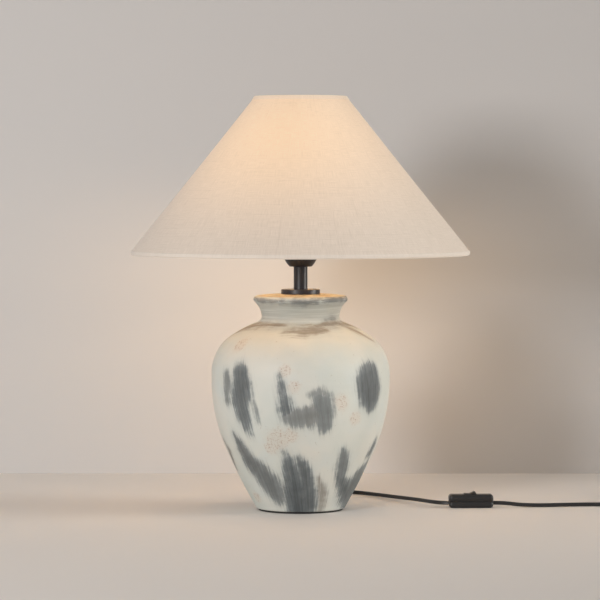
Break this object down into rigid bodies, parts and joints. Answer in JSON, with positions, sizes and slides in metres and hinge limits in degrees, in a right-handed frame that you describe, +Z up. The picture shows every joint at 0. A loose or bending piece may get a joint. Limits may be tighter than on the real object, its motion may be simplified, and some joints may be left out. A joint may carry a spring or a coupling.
{
  "type": "table lamp with shade",
  "caption": "Table lamp with a brush-painted ceramic vase base, black metal stem, cone fabric shade, LED bulb, and a mains lead with an inline rocker switch and plug.",
  "frame": {"origin": "under the centre of the vase's foot, on the table", "axes": "+Z up along the lamp's axis; the lead leaves the vase towards +Y, and the switch, coil and plug lie towards +X"},
  "size_m": [0.7496, 0.464, 0.5681],
  "materials": {
    "glazed_vase": "matt off-white glaze with brushed blue-grey strokes",
    "foam_pad": "matt black foam",
    "black_nylon": "fine matt nylon",
    "zinc_steel": "bright zinc plate",
    "rubber_seal": "matt rubber",
    "black_metal": "satin black lacquer",
    "black_thermoset": "moulded black thermoset",
    "porcelain_block": "unglazed white porcelain",
    "brass_contact": "stamped brass",
    "shade_linen": "cream linen laminate with a fine slub",
    "shade_hem": "folded cream linen tape",
    "white_wire": "white powder coat",
    "opal_globe": "opal diffuser",
    "bulb_white": "white moulded plastic",
    "led_board": "white solder mask with yellow light chips",
    "nickel_cap": "nickel plate",
    "bulb_insulator": "black glass-like insulator",
    "black_cord": "black PVC twin flex",
    "core_brown": "brown PVC core",
    "core_blue": "blue PVC core",
    "switch_plastic": "black moulded plastic",
    "plug_plastic": "black moulded PVC"
  },
  "bodies": {
    "base": {"vase_body": "glazed_vase", "base_pad": "foam_pad", "cord_bush": "black_nylon", "threaded_rod": "zinc_steel", "rod_nut": "zinc_steel", "steel_washer": "zinc_steel", "rubber_washer": "rubber_seal", "neck_disc": "black_metal", "stem_tube": "black_metal", "socket_cup": "black_metal", "holder_cap": "black_thermoset", "holder_shell": "black_thermoset", "contact_block": "porcelain_block", "centre_contact": "brass_contact", "side_contact": "brass_contact", "terminal_screws": "brass_contact", "inner_cord": "black_cord", "live_core": "core_brown", "neutral_core": "core_blue", "cord_to_switch": "black_cord", "cord_to_coil": "black_cord", "cord_coil": "black_cord", "cord_tail": "black_cord", "coil_tie": "black_nylon", "switch_base": "switch_plastic", "switch_cover": "switch_plastic", "switch_screws": "zinc_steel", "switch_contacts": "brass_contact", "switch_neutral_core": "core_blue", "plug_body": "plug_plastic", "plug_pins": "nickel_cap", "plug_pin_sleeves": "plug_plastic"},
    "shade": {"shade_cover": "shade_linen", "bottom_hem": "shade_hem", "top_hem": "shade_hem", "bottom_ring": "white_wire", "top_ring": "white_wire", "fitter_ring": "white_wire", "spider_arms": "white_wire"},
    "shade_ring": {"shade_ring": "black_thermoset"},
    "bulb": {"bulb_globe": "opal_globe", "bulb_collar": "bulb_white", "bulb_led_board": "led_board", "bulb_screw_cap": "nickel_cap", "bulb_insulator": "bulb_insulator", "bulb_tip_contact": "zinc_steel"},
    "rocker": {"switch_rocker": "switch_plastic"}
  },
  "joints": [
    {"name": "shade_lift", "type": "slide", "parent": "base", "child": "shade", "axis": [0, 0, 1], "range_m": [0, 0.25]},
    {"name": "ring_turn", "type": "hinge", "parent": "shade", "child": "shade_ring", "pos_m": [0, 0, 0.3732], "axis": [0, 0, 1], "range_deg": [0, 1080]},
    {"name": "bulb_turn", "type": "hinge", "parent": "shade", "child": "bulb", "pos_m": [0, 0, 0.4], "axis": [0, 0, 1], "range_deg": [0, 1440]},
    {"name": "rocker_tilt", "type": "hinge", "parent": "base", "child": "rocker", "pos_m": [0.2348, 0.02055, 0.0164], "axis": [-0.0436, 0.999, 0], "range_deg": [0, 23]}
  ]
}
